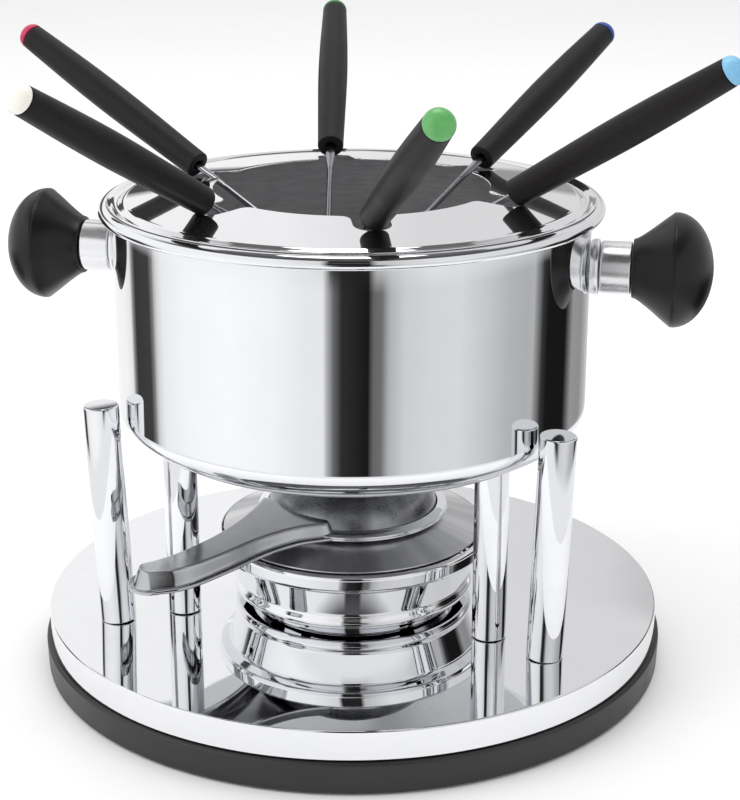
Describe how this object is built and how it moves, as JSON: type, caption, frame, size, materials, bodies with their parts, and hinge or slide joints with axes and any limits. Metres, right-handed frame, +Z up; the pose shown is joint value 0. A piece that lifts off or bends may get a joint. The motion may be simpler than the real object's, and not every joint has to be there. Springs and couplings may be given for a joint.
{
  "type": "fondue pot set",
  "caption": "Steel fondue pot with knob handles on a round post stand, with a spirit burner, a notched fork ring and long forks.",
  "frame": {"origin": "centre of the anti-slip pad's flat underside, on the table", "axes": "+Z up along the pot's axis; +X to the right and +Y away from the side that the front fork points to; the right handle points near +X"},
  "size_m": [0.2678, 0.3041, 0.2466],
  "materials": {
    "mirror_steel": "mirror-polished stainless steel",
    "post_steel": "polished stainless steel rod and pressings",
    "pot_steel": "stainless steel, mirror-polished outside, brushed inside",
    "plain_steel": "plain machined steel",
    "fork_steel": "polished stainless fork steel",
    "burner_steel": "satin stainless pressing",
    "base_black": "satin black moulding",
    "anti_slip_rubber": "matt black foam rubber",
    "core_board": "pressed fibre board",
    "wadding": "white mineral wadding",
    "knob_black": "smooth black phenolic moulding",
    "grip_black": "fine-textured black moulding",
    "cap_green": "bright green moulded cap",
    "cap_sky_blue": "light blue moulded cap",
    "cap_navy": "dark blue moulded cap",
    "cap_olive": "olive green moulded cap",
    "cap_crimson": "crimson moulded cap",
    "cap_white": "ivory white moulded cap"
  },
  "bodies": {
    "stand": {"anti_slip_pad": "anti_slip_rubber", "base_plate": "base_black", "base_core": "core_board", "base_cover": "mirror_steel", "outer_post_1": "post_steel", "outer_post_1_screw": "plain_steel", "inner_post_1": "post_steel", "inner_post_1_screw": "plain_steel", "outer_post_2": "post_steel", "outer_post_2_screw": "plain_steel", "inner_post_2": "post_steel", "inner_post_2_screw": "plain_steel", "outer_post_3": "post_steel", "outer_post_3_screw": "plain_steel", "inner_post_3": "post_steel", "inner_post_3_screw": "plain_steel"},
    "pot": {"pot_body": "pot_steel", "pot_base_disc": "plain_steel", "right_handle_boss": "post_steel", "right_handle_stud": "plain_steel", "right_handle_sleeve": "post_steel", "right_handle_knob": "knob_black", "left_handle_boss": "post_steel", "left_handle_stud": "plain_steel", "left_handle_sleeve": "post_steel", "left_handle_knob": "knob_black"},
    "ring": {"fork_ring": "mirror_steel"},
    "fork_1": {"fork_1_shaft": "fork_steel", "fork_1_handle": "grip_black", "fork_1_cap": "cap_green"},
    "fork_2": {"fork_2_shaft": "fork_steel", "fork_2_handle": "grip_black", "fork_2_cap": "cap_sky_blue"},
    "fork_3": {"fork_3_shaft": "fork_steel", "fork_3_handle": "grip_black", "fork_3_cap": "cap_navy"},
    "fork_4": {"fork_4_shaft": "fork_steel", "fork_4_handle": "grip_black", "fork_4_cap": "cap_olive"},
    "fork_5": {"fork_5_shaft": "fork_steel", "fork_5_handle": "grip_black", "fork_5_cap": "cap_crimson"},
    "fork_6": {"fork_6_shaft": "fork_steel", "fork_6_handle": "grip_black", "fork_6_cap": "cap_white"},
    "burner": {"burner_cup": "mirror_steel", "burner_cover": "burner_steel", "burner_wadding": "wadding", "burner_mesh": "plain_steel"},
    "regulator": {"regulator_dome": "burner_steel", "regulator_ring": "post_steel", "regulator_lever": "post_steel"}
  },
  "joints": [
    {"name": "pot_lift", "type": "slide", "parent": "stand", "child": "pot", "axis": [0, 0, 1], "range_m": [0, 0.1]},
    {"name": "ring_lift", "type": "slide", "parent": "pot", "child": "ring", "axis": [0, 0, 1], "range_m": [0, 0.1]},
    {"name": "fork_1_pull", "type": "slide", "parent": "ring", "child": "fork_1", "axis": [0.1869, -0.857, 0.4802], "range_m": [0, 0.035]},
    {"name": "fork_2_pull", "type": "slide", "parent": "ring", "child": "fork_2", "axis": [0.6878, -0.4961, 0.5299], "range_m": [0, 0.035]},
    {"name": "fork_3_pull", "type": "slide", "parent": "ring", "child": "fork_3", "axis": [0.5759, 0.7036, 0.4163], "range_m": [0, 0.035]},
    {"name": "fork_4_pull", "type": "slide", "parent": "ring", "child": "fork_4", "axis": [0.0123, 0.8837, 0.4679], "range_m": [0, 0.035]},
    {"name": "fork_5_pull", "type": "slide", "parent": "ring", "child": "fork_5", "axis": [-0.7303, 0.5132, 0.4509], "range_m": [0, 0.035]},
    {"name": "fork_6_pull", "type": "slide", "parent": "ring", "child": "fork_6", "axis": [-0.5316, -0.6903, 0.4909], "range_m": [0, 0.035]},
    {"name": "burner_lift", "type": "slide", "parent": "stand", "child": "burner", "axis": [0, 0, 1], "range_m": [0, 0.015]},
    {"name": "regulator_turn", "type": "hinge", "parent": "burner", "child": "regulator", "pos_m": [0, 0, 0.06], "axis": [0, 0, 1], "range_deg": [-10, 60]}
  ]
}
